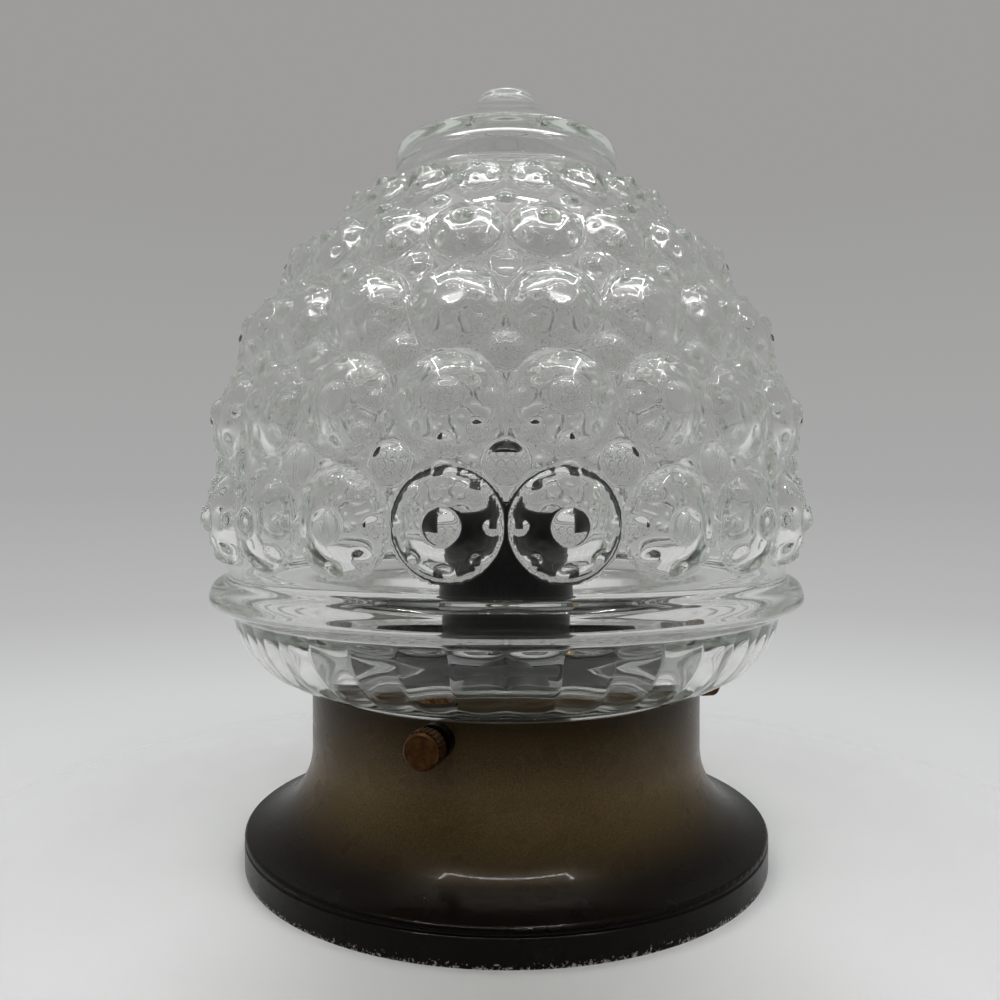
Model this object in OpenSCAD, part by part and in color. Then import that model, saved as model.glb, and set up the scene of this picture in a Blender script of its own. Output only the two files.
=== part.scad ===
// Flush ceiling light: a spun metal canopy, a mould-blown bubble-glass shade held by three
// thumbscrews, and a screw lampholder on a bridge inside.
// Z = 0 is the plane of the ceiling and +Z points away from it, along the light's own axis.

/* [Canopy] */
// Diameter of the rim that lies on the ceiling
canopy_d = 150; // [130:1:180]
// Height of the upright lip around the rim
lip_h = 7.4; // [5:0.2:12]
// Height of the shoulder's edge above the lip
shoulder_h = 1.9; // [1.4:0.1:4]
// Outer diameter of the neck
neck_d = 112.6; // [108:0.2:118]
// Height of the whole canopy
canopy_h = 48.8; // [44:0.2:60]
// Radius of the hollow sweep between rim and neck
flare_r = 22; // [16:0.5:26]
// Thickness of the spun sheet
sheet = 1; // [0.6:0.1:1.4]
// Depth of the pressed line between lip and shoulder
crease_depth = 0.45; // [0.2:0.05:0.5]

/* [Shade] */
// Widest diameter of the glass wall between its bubbles
shade_d = 161.2; // [150:0.2:170]
// Height above the ceiling of that widest place
shade_mid_z = 100; // [92:1:110]
// Radius of the shade's long outer curve
shade_curve = 110.6; // [100:0.2:130]
// Thickness of the glass
glass = 3.6; // [3:0.1:5]
// Outer diameter of the smooth ring under the bubbles
ring_d = 168.4; // [166:0.2:176]
// Rounding of that ring
ring_round = 5; // [4:0.1:6]
// Height of the ring's sharp lower edge
ring_z = 72.7; // [70:0.1:76]
// Radius of the fluted bowl's curve
bowl_r = 22.8; // [20:0.1:25]
// Gap between the canopy's top edge and the bowl
bowl_gap = 1.7; // [1:0.1:4]
// Grooves around the bowl
flutes = 40; // [24:4:60]
// Diameter of the cap on top
cap_d = 64.6; // [58:0.2:70]
// Height of the cap's edge
cap_z = 202.6; // [200:0.2:210]
// Diameter of the button that ends the shade
button_d = 16.4; // [12:0.2:22]
// Height of the whole light
total_h = 219.5; // [216:0.5:226]

/* [Bubbles] */
// Bubbles around each row
columns = 20; // [16:2:24]
// Place of each row along the long curve, in degrees above its widest place
row_angles = [-1.7, 12.1, 24, 35.8, 48.2];
// Width of a bubble as a share of the room that it has
bubble_fill = 0.955; // [0.8:0.005:0.97]
// Rise of a bubble as a share of its radius
bubble_rise = 0.4; // [0.25:0.01:0.5]
// Radius of a bubble's nipple as a share of the bubble's radius
nipple_share = 0.3; // [0.15:0.01:0.35]
// Diameter of the small beads in each gap between two rows
bead_d = [9.2, 8.8, 7, 5.4];
// Rise of a bead as a share of its diameter
bead_rise = 0.3; // [0.2:0.01:0.4]

/* [Shade neck] */
// Room between the glass neck and the canopy's neck around it
neck_gap = 5.3; // [4.6:0.1:7]
// Rise of the bead around the neck's end
neck_bead = 2.2; // [1.5:0.1:2.6]
// Depth of the neck below the canopy's top edge
neck_depth = 14.4; // [12:0.2:18]

/* [Thumbscrews] */
// Thumbscrews around the neck
screws = 3; // [3:1:3]
// Direction of the first one from the front, in degrees
screw_turn = -17; // [-60:1:60]
// Depth of their axes below the canopy's top edge
screw_drop = 4.6; // [4:0.1:7]
// Thread diameter
screw_d = 4; // [3:0.5:5]
// Diameter of the knurled knobs
knob_d = 9.4; // [8:0.2:12]
// Length of a knob
knob_l = 5.2; // [4:0.2:8]
// Knurls around a knob
knurls = 24; // [16:2:36]
// Diameter of the bushes' collars
bush_d = 9; // [7:0.2:12]
// Length of a collar outside the neck
bush_l = 3; // [2:0.2:4]
// Gap between a collar and its knob, room for tightening
knob_gap = 2.6; // [2.5:0.1:4]

/* [Bridge] */
// Width of the strap across the canopy
strap_w = 26; // [20:1:32]
// Height of the strap's underside above the ceiling
strap_z = 3; // [2.5:0.5:4]
// Thickness of strap and bracket
steel = 2; // [1.5:0.1:2.5]
// Distance between the two fixing slots
slot_pitch = 92; // [84:1:100]
// Width of a fixing slot
slot_w = 5; // [4:0.2:6]
// Length of a fixing slot
slot_l = 12; // [8:0.5:14]
// Width of the bracket between its legs' outer faces
bracket_w = 44; // [40:1:50]
// Depth of the bracket
bracket_d = 20; // [16:1:24]
// Height of the bracket's top face
bracket_z = 40; // [38:0.5:44]
// Diameter of the rivets that hold it
rivet_d = 4; // [3:0.2:5]

/* [Lampholder] */
// Diameter of the threaded tube that carries the holder
tube_d = 10; // [8:0.5:12]
// Outer diameter of the holder
holder_d = 39.4; // [37:0.2:42]
// Height of the holder's open end
holder_z = 100; // [96:0.5:108]
// Inner diameter of the screw shell
thread_d = 26.6; // [26:0.1:28]
// Depth of the screw shell
thread_l = 21; // [18:0.5:24]

/* [Wiring] */
// Diameter of an insulated lead
lead_d = 2.2; // [1.6:0.1:2.6]
// Length of the terminal block
block_l = 30; // [26:1:34]
// Width of the terminal block
block_w = 17; // [14:0.5:20]
// Height of the terminal block
block_h = 14; // [12:0.5:16]

/* [Hidden] */
$fn = 96;
// Clearance of a running fit, on the radius
run = 0.05;
// Clearance between pieces that only pass each other
pass = 0.3;
canopy_r = canopy_d / 2;
neck_r = neck_d / 2;
neck_in = neck_r - sheet;
shoulder_round = 1.2;
crease_r = 0.8;
big = canopy_d * 2;

// Heights and radii of the shade
shade_r = shade_d / 2;
curve_x = shade_r - shade_curve;
bowl_z = canopy_h + bowl_gap;
ring_r = ring_d / 2;
ring_rise = 3.1;
ring_step = 6.1;
ring_mid_z = ring_z + ring_rise;
bowl_x = ring_r - ring_step - bowl_r;
groove_r = 2;
groove_out = 0.8;
groove_from = -75;
groove_turn = 60;
glass_neck_r = neck_in - neck_gap;
foot_r = neck_in + sheet * 0.6;
neck_end_z = canopy_h - neck_depth;
neck_bead_round = neck_bead + 0.4;
cap_r = cap_d / 2;
cap_edge = 1.4;
cap_skirt = 12;
button_r = button_d / 2;
button_h = 3;
button_bevel = 1.4;
dome_h = total_h - button_h - cap_z;
seat = 1.7;

// Thumbscrews
screw_z = canopy_h - screw_drop;
screw_r = screw_d / 2;
spigot_r = bush_d / 2 - 1;
bush_out = neck_r + bush_l;
bush_seat = sqrt(neck_in * neck_in - bush_d * bush_d / 4);
bush_in = bush_seat - 1;
knob_in = bush_out + knob_gap;
tip_r = glass_neck_r + neck_bead + pass;
stud_hold = 0.7;
stud_end = knob_in + knob_l * stud_hold;
knurl_fill = 0.42;
knurl_depth = 0.6;
tip_chamfer = 0.6;

// Bridge and lampholder
strap_top = strap_z + steel;
foot_l = 12;
rivet_x = bracket_w / 2 + foot_l / 2;
tube_r = tube_d / 2;
tube_wall = 1.2;
nut_h = 3;
nut_af = tube_d * 1.4;
washer_h = 0.8;
holder_r = holder_d / 2;
holder_foot = bracket_z + washer_h;
boss_h = 7;
boss_wall = 3.6;
tube_top = holder_foot + boss_h;
tube_spare = 2;
tube_foot = bracket_z - steel - nut_h - tube_spare;
moulding = 2.4;
cap_h = 23;
cap_top = holder_foot + cap_h;
cap_inset = 0.6;
cap_bend = 8;
cap_lift = 6;
mouth_depth = 5;
insert_top = holder_z - thread_l - mouth_depth;
shell_wall = 0.7;
shell_r = thread_d / 2 + shell_wall;
shell_floor = 0.6;
shell_flange = 5.3;
mouth_gap = 1.6;
mouth_r = shell_r + mouth_gap;
contact_well_r = 5.5;
contact_well_h = 3.6;

spigot_out = holder_r - moulding - pass;
spigot_wall = 1.9;
spigot_root = 4;
spigot_h = 5;
spigot_top = cap_top + spigot_h;
contact_x = 8.5;
contact_d = 3;
contact_head = 2;

// Terminal block and leads
block_screw_d = 3;
block_screw_head = 4.5;
block_seat = strap_top + block_h * 0.68;
terminal_d = 3;
terminal_y = block_w * 0.27;
lead_x = lead_d / 2 + pass;
block_out = block_w / 2;
earth_d = 4;
earth_z = 27;
tag_t = 0.8;
barrel_drop = 6;
barrel_l = 5;
pole_pitch = block_l / 3;
pole_z = strap_top + block_h * 0.42;
sleeve_r = block_h * 0.24;
wire_r = lead_d / 2;

// Filled half section of the canopy, inset by t from its outer face
module canopy_section(t) {
    edge_z = lip_h + shoulder_h;
    sweep_x = neck_r + flare_r;
    edge_x = canopy_r - shoulder_round;
    sweep_z = edge_z + sqrt(flare_r * flare_r - pow(sweep_x - edge_x, 2));
    difference() {
        translate([0, -t]) square([canopy_r - t, canopy_h + 2 * t]);
        translate([sweep_x, sweep_z]) circle(r = flare_r + t);
        translate([neck_r - t, sweep_z]) square([big, big]);
    }
}

module canopy_shell() {
    color("#4a3a26")
    difference() {
        rotate_extrude() difference() {
            canopy_section(0);
            canopy_section(sheet);
            translate([0, -1]) square([neck_in, canopy_h + 2]);
            translate([canopy_r + crease_r - crease_depth, lip_h]) circle(r = crease_r);
            shoulder_corner();
        }
        at_screws() translate([0, 0, bush_in]) cylinder(r = spigot_r, h = bush_out - bush_in);
    }
}

// What the rounding takes off the shoulder's edge
module shoulder_corner() {
    round_z = lip_h + shoulder_h - shoulder_round;
    difference() {
        translate([canopy_r - shoulder_round, round_z]) square([shoulder_round + 1, shoulder_round + 1]);
        translate([canopy_r - shoulder_round, round_z]) circle(r = shoulder_round);
    }
}

// Repeats its children along every thumbscrew's axis, +Z pointing outwards
module at_screws() {
    for (i = [0 : screws - 1]) at_screw(i) children();
}

module at_screw(i) {
    rotate([0, 0, screw_turn - 90 + i * 360 / screws])
    translate([0, 0, screw_z])
    rotate([0, 90, 0])
    children();
}

module glass_shade() {
    color("#dfe8e4")
    difference() {
        union() {
            rotate_extrude() difference() {
                shade_section();
                shade_cavity();
            }
            bubbles();
            beads();
        }
        bowl_grooves();
    }
}

// Outer half section of the shade, filled to the axis
module shade_section() {
    intersection() {
        translate([curve_x, shade_mid_z]) circle(r = shade_curve, $fn = 360);
        translate([0, ring_z]) square([big, cap_z - ring_z]);
    }
    intersection() {
        translate([ring_r - ring_round, ring_mid_z]) circle(r = ring_round);
        translate([0, ring_z]) square([big, big]);
    }
    translate([0, ring_z]) square([ring_r - ring_round, glass]);
    intersection() {
        translate([bowl_x, bowl_z + bowl_r]) circle(r = bowl_r);
        translate([bowl_x, 0]) square([big, ring_z]);
    }
    translate([0, bowl_z]) square([bowl_x, ring_z - bowl_z]);
    translate([0, canopy_h + run]) square([foot_r, bowl_z + 1 - canopy_h]);
    translate([0, neck_end_z]) square([glass_neck_r, bowl_z + 1 - neck_end_z]);
    intersection() {
        translate([glass_neck_r + neck_bead - neck_bead_round, neck_end_z + neck_bead_round])
            circle(r = neck_bead_round);
        square([big, big]);
    }
    cap_section();
}

module cap_section() {
    skirt_z = cap_z - cap_skirt;
    translate([0, skirt_z]) square([cap_r, cap_z - cap_edge - skirt_z]);
    translate([cap_r - cap_edge, cap_z - cap_edge]) circle(r = cap_edge);
    polygon([[0, cap_z - cap_edge], [cap_r - cap_edge, cap_z - cap_edge], [cap_r - cap_edge, cap_z],
        [button_r, cap_z + dome_h], [button_r, total_h - button_bevel],
        [button_r - button_bevel, total_h], [0, total_h]]);
}

// Room inside the shade
module shade_cavity() {
    skirt_z = cap_z - cap_skirt;
    roof_z = cap_z + dome_h - glass;
    intersection() {
        translate([curve_x, shade_mid_z]) circle(r = shade_curve - glass, $fn = 360);
        union() {
            translate([0, ring_z]) square([bowl_x + bowl_r - glass, cap_z - glass - ring_z]);
            translate([0, ring_z + glass]) square([big, cap_z - 2 * glass - ring_z]);
        }
    }
    polygon([[0, skirt_z], [cap_r - glass, skirt_z], [cap_r - glass, cap_z - glass],
        [button_r - glass, roof_z], [0, roof_z]]);
    intersection() {
        translate([bowl_x, bowl_z + bowl_r]) circle(r = bowl_r - glass);
        translate([bowl_x, 0]) square([big, ring_z + 0.01]);
    }
    translate([0, bowl_z + glass]) square([bowl_x, ring_z - bowl_z]);
    square([glass_neck_r - glass, bowl_z + glass + 1]);
}

function row_r(a) = curve_x + shade_curve * cos(a);
function row_z(a) = shade_mid_z + shade_curve * sin(a);
function bubble_r(a) = bubble_fill * row_r(a) * sin(180 / columns);

// Puts its children on the long curve at angle a, +Z along the outward normal
module on_curve(a) {
    translate([row_r(a), 0, row_z(a)]) rotate([0, 90 - a, 0]) children();
}

// Round swelling of radius r and height rise, sunk by the seat into the wall
module swelling(r, rise, nipple) {
    dome = (r * r + rise * rise) / (2 * rise);
    nipple_rise = nipple * 0.5;
    nipple_dome = (nipple * nipple + nipple_rise * nipple_rise) / (2 * nipple_rise);
    rotate_extrude() intersection() {
        union() {
            translate([0, rise - dome]) circle(r = dome);
            if (nipple > 0) translate([0, rise + nipple_rise - nipple_dome]) circle(r = nipple_dome);
        }
        translate([0, -seat]) square([r, big]);
    }
}

module bubbles() {
    for (a = row_angles, i = [0 : columns - 1]) {
        r = bubble_r(a);
        rotate([0, 0, (i + 0.5) * 360 / columns - 90])
            on_curve(a) swelling(r, r * bubble_rise, r * nipple_share);
    }
}

module beads() {
    for (n = [1 : len(row_angles) - 1], i = [0 : columns - 1]) {
        a = (row_angles[n - 1] + row_angles[n]) / 2;
        rotate([0, 0, i * 360 / columns - 90])
            on_curve(a) swelling(bead_d[n - 1] / 2, bead_d[n - 1] * bead_rise, 0);
    }
}

module bowl_grooves() {
    for (i = [0 : flutes - 1])
        rotate([0, 0, i * 360 / flutes - 90])
        translate([bowl_x, 0, bowl_z + bowl_r])
        rotate([90, 0, 0])
        rotate([0, 0, groove_from])
        rotate_extrude(angle = groove_turn)
        translate([bowl_r + groove_out, 0]) circle(r = groove_r, $fn = 24);
}

module thumbscrew_bushes() {
    color("#2b2118")
    at_screws() difference() {
        union() {
            translate([0, 0, bush_in]) cylinder(r = spigot_r, h = bush_out - bush_in);
            translate([0, 0, bush_in]) cylinder(d = bush_d, h = bush_seat - bush_in);
            bush_collar();
        }
        translate([0, 0, bush_in - 1]) cylinder(r = screw_r + run, h = bush_out - bush_in + 2);
    }
}

// Collar outside the neck, shaped to the neck's curve
module bush_collar() {
    difference() {
        translate([0, 0, neck_in]) cylinder(d = bush_d, h = bush_out - neck_in);
        rotate([0, 90, 0]) cylinder(r = neck_r, h = bush_d * 2, center = true, $fn = 200);
    }
}

// Threaded stud with a blunt tip
module thumbscrew_stud(i) {
    color("#3a2f25")
    at_screw(i) {
        translate([0, 0, tip_r + tip_chamfer]) cylinder(r = screw_r, h = stud_end - tip_r - tip_chamfer);
        translate([0, 0, tip_r]) cylinder(r1 = screw_r - tip_chamfer, r2 = screw_r, h = tip_chamfer);
    }
}

// Knurled knob with a blind hole for its stud
module thumbscrew_knob(i) {
    knurl_r = PI * knob_d / knurls * knurl_fill;
    core_r = knob_d / 2 - knurl_r * knurl_depth;
    rim = 0.5;
    color("#8a5a34")
    at_screw(i) difference() {
        union() {
            translate([0, 0, knob_in]) cylinder(r = core_r, h = knob_l - rim);
            translate([0, 0, knob_in + knob_l - rim]) cylinder(r1 = core_r, r2 = core_r - rim, h = rim);
            for (k = [0 : knurls - 1])
                rotate([0, 0, k * 360 / knurls])
                translate([knob_d / 2 - knurl_r, 0, knob_in + rim])
                cylinder(r = knurl_r, h = knob_l - 3 * rim, $fn = 24);
        }
        translate([0, 0, knob_in - 1]) cylinder(r = screw_r + run, h = stud_end + pass - knob_in + 1);
    }
}

// Bar across the canopy with two slots for the ceiling screws and welded end tabs
module mounting_strap() {
    lip_in = canopy_r - sheet;
    tab_z = 0.6;
    color("#9a9c9e")
    difference() {
        intersection() {
            union() {
                translate([-lip_in, -strap_w / 2, strap_z]) cube([2 * lip_in, strap_w, steel]);
                difference() {
                    translate([-lip_in, -strap_w / 2, tab_z]) cube([2 * lip_in, strap_w, strap_top - tab_z]);
                    cylinder(r = lip_in - steel, h = big, center = true, $fn = 200);
                }
            }
            cylinder(r = lip_in, h = big, center = true, $fn = 200);
        }
        for (side = [-1, 1]) {
            translate([side * slot_pitch / 2, 0, 0]) slot();
            translate([side * rivet_x, 0, 0]) cylinder(d = rivet_d, h = big, center = true);
        }
        translate([pole_pitch / 2, 0, 0]) cylinder(d = block_screw_d, h = big, center = true);
    }
}

module slot() {
    reach = (slot_l - slot_w) / 2;
    for (side = [-1, 1]) translate([side * reach, 0, 0]) cylinder(d = slot_w, h = big, center = true);
    cube([2 * reach, slot_w, big], center = true);
}

// Inverted U that carries the lampholder above the strap
module lampholder_bracket() {
    half = bracket_w / 2;
    color("#a3a5a6")
    difference() {
        union() {
            translate([-half, -bracket_d / 2, bracket_z - steel]) cube([bracket_w, bracket_d, steel]);
            for (side = [-1, 1]) {
                translate([side * (half - steel / 2), 0, (strap_top + bracket_z) / 2])
                    cube([steel, bracket_d, bracket_z - strap_top], center = true);
                translate([side * (half + foot_l / 2 - steel / 2), 0, strap_top + steel / 2])
                    cube([foot_l + steel, bracket_d, steel], center = true);
            }
        }
        translate([0, 0, bracket_z - steel - 1]) cylinder(r = tube_r, h = steel + 2);
        for (side = [-1, 1]) translate([side * rivet_x, 0, 0]) cylinder(d = rivet_d, h = big / 4);
        translate([half - steel - 1, 0, earth_z]) rotate([0, 90, 0]) cylinder(d = earth_d, h = steel + 2);
    }
}

module bracket_rivets() {
    head_h = 1.3;
    color("#b9bbbb")
    for (side = [-1, 1]) translate([side * rivet_x, 0, 0]) {
        translate([0, 0, strap_z]) cylinder(d = rivet_d, h = 2 * steel);
        translate([0, 0, strap_top + steel]) cylinder(r1 = rivet_d * 0.85, r2 = rivet_d * 0.5, h = head_h);
        translate([0, 0, strap_z - head_h]) cylinder(r1 = rivet_d * 0.6, r2 = rivet_d * 0.75, h = head_h);
    }
}

module threaded_tube() {
    color("#c8b06a")
    translate([0, 0, tube_foot]) difference() {
        cylinder(r = tube_r, h = tube_top - tube_foot);
        translate([0, 0, -1]) cylinder(r = tube_r - tube_wall, h = big);
    }
}

module tube_nut() {
    color("#b4b6b6")
    translate([0, 0, bracket_z - steel - nut_h]) difference() {
        cylinder(d = nut_af / cos(30), h = nut_h, $fn = 6);
        translate([0, 0, -1]) cylinder(r = tube_r, h = nut_h + 2);
    }
}

// Washer with teeth around its edge
module tooth_washer() {
    teeth = 12;
    outer_r = tube_r * 1.7;
    color("#8d8f90")
    translate([0, 0, bracket_z]) difference() {
        cylinder(r = outer_r, h = washer_h);
        translate([0, 0, -1]) cylinder(r = tube_r, h = washer_h + 2);
        for (i = [0 : teeth - 1]) rotate([0, 0, i * 360 / teeth])
            translate([outer_r, 0, -1]) cylinder(r = 0.9, h = washer_h + 2, $fn = 24);
    }
}

// Half section of the holder's lower part, inset by t
module cap_shape(t) {
    body_r = holder_r - cap_inset - t;
    floor_z = holder_foot + cap_lift + t;
    translate([0, floor_z]) square([body_r - cap_bend, cap_top - floor_z + t]);
    translate([0, floor_z + cap_bend]) square([body_r, cap_top - floor_z - cap_bend + t]);
    translate([body_r - cap_bend, floor_z + cap_bend]) circle(r = cap_bend);
}

module lampholder_cap() {
    spigot_in = spigot_out - spigot_wall;
    color("#151515")
    rotate_extrude() difference() {
        union() {
            cap_shape(0);
            translate([0, holder_foot]) square([tube_r + boss_wall, boss_h]);
            translate([0, cap_top - spigot_root]) square([spigot_out, spigot_h + spigot_root]);
        }
        intersection() {
            cap_shape(moulding);
            square([spigot_in, cap_top]);
        }
        translate([0, cap_top - spigot_root - 1]) square([spigot_in, big]);
        translate([0, holder_foot - 1]) square([tube_r, cap_h / 2]);
    }
}

module lampholder_shell() {
    ridge_h = 6;
    ridge = 0.9;
    ridge_lift = 4;
    mouth_h = 3;
    edge = 1.2;
    color("#181818")
    rotate_extrude() difference() {
        union() {
            translate([0, cap_top]) square([holder_r, holder_z - edge - cap_top]);
            translate([0, cap_top]) square([holder_r - edge, holder_z - cap_top]);
            translate([holder_r - edge, holder_z - edge]) circle(r = edge);
            translate([0, cap_top + ridge_lift]) square([holder_r + ridge, ridge_h]);
        }
        translate([0, cap_top - 1]) square([holder_r - moulding, holder_z - mouth_h - cap_top + 1]);
        translate([0, cap_top]) square([mouth_r, big]);
    }
}

// Ceramic disc that carries the contacts, with a well in its middle
module lampholder_insert() {
    color("#e8e2d4")
    difference() {
        translate([0, 0, spigot_top]) cylinder(r = holder_r - moulding - pass, h = insert_top - spigot_top);
        for (side = [-1, 1]) translate([side * contact_x, 0, spigot_top - 1])
            cylinder(d = contact_d, h = insert_top - spigot_top + 2);
        translate([0, 0, insert_top - contact_well_h]) cylinder(r = contact_well_r, h = contact_well_h + 1);
    }
}

module screw_shell() {
    color("#c9a24a")
    difference() {
        translate([0, 0, insert_top]) cylinder(r = shell_r, h = thread_l);
        translate([0, 0, insert_top + shell_floor]) cylinder(d = thread_d, h = thread_l);
        translate([0, 0, insert_top - 1]) cylinder(r = shell_r - shell_flange, h = shell_floor + 2);
    }
}

// Springy tongue in the insert's well, below the end of a bulb's cap
module centre_contact() {
    tongue_w = 5;
    tongue_t = 0.6;
    base_l = 7;
    lean = 24;
    color("#b87333")
    translate([-base_l / 2, -tongue_w / 2, insert_top - contact_well_h]) {
        cube([base_l, tongue_w, tongue_t]);
        rotate([0, -lean, 0]) cube([base_l, tongue_w, tongue_t]);
    }
}

module contact_screws() {
    color("#c9a24a")
    for (side = [-1, 1]) translate([side * contact_x, 0, 0]) {
        translate([0, 0, spigot_top - contact_head]) cylinder(d = contact_d * 2, h = contact_head);
        translate([0, 0, spigot_top]) cylinder(d = contact_d, h = insert_top - spigot_top - pass);
    }
}

// Places its children at each pole of the terminal block
module at_poles() {
    for (i = [-1 : 1]) translate([i * pole_pitch, 0, pole_z]) children();
}

module terminal_block() {
    well_r = terminal_d / 2 + 0.3;
    color("#d9d7cf")
    difference() {
        translate([-block_l / 2, -block_w / 2, strap_top]) cube([block_l, block_w, block_h]);
        at_poles() rotate([90, 0, 0]) cylinder(r = sleeve_r, h = block_w + 2, center = true);
        at_terminals() cylinder(r = well_r, h = block_h);
        for (side = [-1, 1]) translate([side * pole_pitch / 2, 0, 0]) {
            cylinder(d = block_screw_d, h = big);
            translate([0, 0, block_seat]) cylinder(d = block_screw_head, h = block_h);
        }
    }
}

module at_terminals() {
    at_poles() for (side = [-1, 1]) translate([0, side * terminal_y, 0]) children();
}

module terminal_sleeves() {
    sleeve_l = block_w - 3;
    color("#c9a24a")
    difference() {
        at_poles() rotate([90, 0, 0]) difference() {
            cylinder(r = sleeve_r, h = sleeve_l, center = true);
            cylinder(r = sleeve_r - 1, h = sleeve_l + 2, center = true);
        }
        at_terminals() cylinder(d = terminal_d, h = block_h);
    }
}

module terminal_screws() {
    color("#b4b6b6")
    at_terminals() translate([0, 0, wire_r]) cylinder(d = terminal_d, h = block_h * 0.42);
}

module block_screw() {
    color("#b4b6b6")
    translate([pole_pitch / 2, 0, 0]) {
        translate([0, 0, strap_z]) cylinder(d = block_screw_d, h = block_seat - strap_z);
        translate([0, 0, block_seat]) cylinder(d = block_screw_head, h = 1.6);
    }
}

module earth_screw() {
    head_h = 2.4;
    color("#c8b06a")
    translate([bracket_w / 2, 0, earth_z]) rotate([0, 90, 0]) {
        translate([0, 0, -steel - 2]) cylinder(d = earth_d, h = steel + 2 + tag_t);
        translate([0, 0, tag_t]) cylinder(d = earth_d * 1.9, h = head_h);
    }
}

// Ring tongue under the earth screw, with a barrel for the lead
module earth_tag() {
    ring_out = earth_d * 1.1;
    color("#c4c6c6")
    translate([bracket_w / 2, 0, earth_z]) {
        difference() {
            union() {
                rotate([0, 90, 0]) cylinder(r = ring_out, h = tag_t);
                translate([0, -wire_r, -barrel_drop]) cube([tag_t, lead_d, barrel_drop]);
            }
            rotate([0, 90, 0]) translate([0, 0, -1]) cylinder(d = earth_d, h = tag_t + 2);
        }
        translate([tag_t + wire_r, 0, -barrel_drop - barrel_l / 2]) difference() {
            cylinder(r = wire_r + tag_t, h = barrel_l, center = true);
            cylinder(r = wire_r, h = barrel_l + 2, center = true);
        }
    }
}

// Sweeps a round lead of radius r along points, with one ring at each of them
module lead(points, r) {
    sides = 8;
    last = len(points) - 1;
    function unit(v) = v / norm(v);
    function way(i) = unit(points[min(i + 1, last)] - points[max(i - 1, 0)]);
    function across(i) = unit(cross(way(i), abs(way(i).x) < 0.8 ? [1, 0, 0] : [0, 1, 0]));
    ring_points = [for (i = [0 : last], k = [0 : sides - 1])
        points[i] + r * (cos(k * 360 / sides) * across(i) + sin(k * 360 / sides) * cross(way(i), across(i)))];
    walls = [for (i = [0 : last - 1], k = [0 : sides - 1])
        let (a = i * sides + k, b = i * sides + (k + 1) % sides) [a, a + sides, b + sides, b]];
    ends = [[for (k = [0 : sides - 1]) k], [for (k = [sides - 1 : -1 : 0]) last * sides + k]];
    polyhedron(ring_points, concat(walls, ends), convexity = 6);
}

// Way of a supply lead from pole x up through the tube to the contact screw on its side
function supply_way(x, side) = [
    [x, terminal_y / 2, pole_z], [x, block_out + 0.5, pole_z], [x, block_out + 3.5, pole_z + 1],
    [x * 0.9, block_out + 5.5, pole_z + 5], [x * 0.6, block_out + 4.5, tube_foot - 10],
    [x * 0.35 + side * 0.7, block_out + 0.5, tube_foot - 6], [side * lead_x, 4, tube_foot - 3.5],
    [side * lead_x, 1, tube_foot - 1.5], [side * lead_x, 0, tube_foot + 1], [side * lead_x, 0, tube_top],
    [side * (lead_x + 1), 0, tube_top + 3], [side * contact_x * 0.6, 0, tube_top + 7],
    [side * (contact_x - 1), 0, tube_top + 11], [side * contact_x, 0, tube_top + 14],
    [side * contact_x, 0, spigot_top - contact_head]];

module live_lead() {
    color("#6b3a1e") lead(supply_way(-pole_pitch, -1), wire_r);
}

module neutral_lead() {
    color("#2f4f9a") lead(supply_way(0, 1), wire_r);
}

module earth_lead() {
    tag_x = bracket_w / 2 + tag_t + wire_r;
    side_y = bracket_d / 2;
    barrel_z = earth_z - barrel_drop - barrel_l;
    color("#6f9a2f") lead([[pole_pitch, terminal_y / 2, pole_z], [pole_pitch, block_out + 0.5, pole_z],
        [pole_pitch + 1, block_out + 3.5, pole_z], [pole_pitch + 4, side_y + 4.5, pole_z],
        [tag_x - 6, side_y + 5, pole_z], [tag_x - 2, side_y + 3.5, pole_z], [tag_x - 0.4, side_y, pole_z],
        [tag_x, side_y * 0.6, pole_z + 0.5], [tag_x, side_y * 0.3, barrel_z - 3],
        [tag_x, 1, barrel_z - 1], [tag_x, 0, barrel_z], [tag_x, 0, barrel_z + barrel_l - 1]], wire_r);
}

canopy_shell();
thumbscrew_bushes();
mounting_strap();
lampholder_bracket();
bracket_rivets();
threaded_tube();
tube_nut();
tooth_washer();
lampholder_cap();
lampholder_shell();
lampholder_insert();
screw_shell();
centre_contact();
contact_screws();
terminal_block();
terminal_sleeves();
terminal_screws();
block_screw();
earth_screw();
earth_tag();
live_lead();
neutral_lead();
earth_lead();
glass_shade();
thumbscrew_stud(0);  // thumbscrew_stud_1
thumbscrew_stud(1);  // thumbscrew_stud_2
thumbscrew_stud(2);  // thumbscrew_stud_3
thumbscrew_knob(0);  // thumbscrew_knob_1
thumbscrew_knob(1);  // thumbscrew_knob_2
thumbscrew_knob(2);  // thumbscrew_knob_3
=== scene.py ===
# %% [markdown]
# A flush ceiling light stands upside down on a pale table, as it was photographed. Its rigid pieces come
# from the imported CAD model. This lesson sets up a camera, a table and lamps. Then it adds the moulded glass,
# the finishes, and the small threads that are too fine for the solids.

import math

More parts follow.
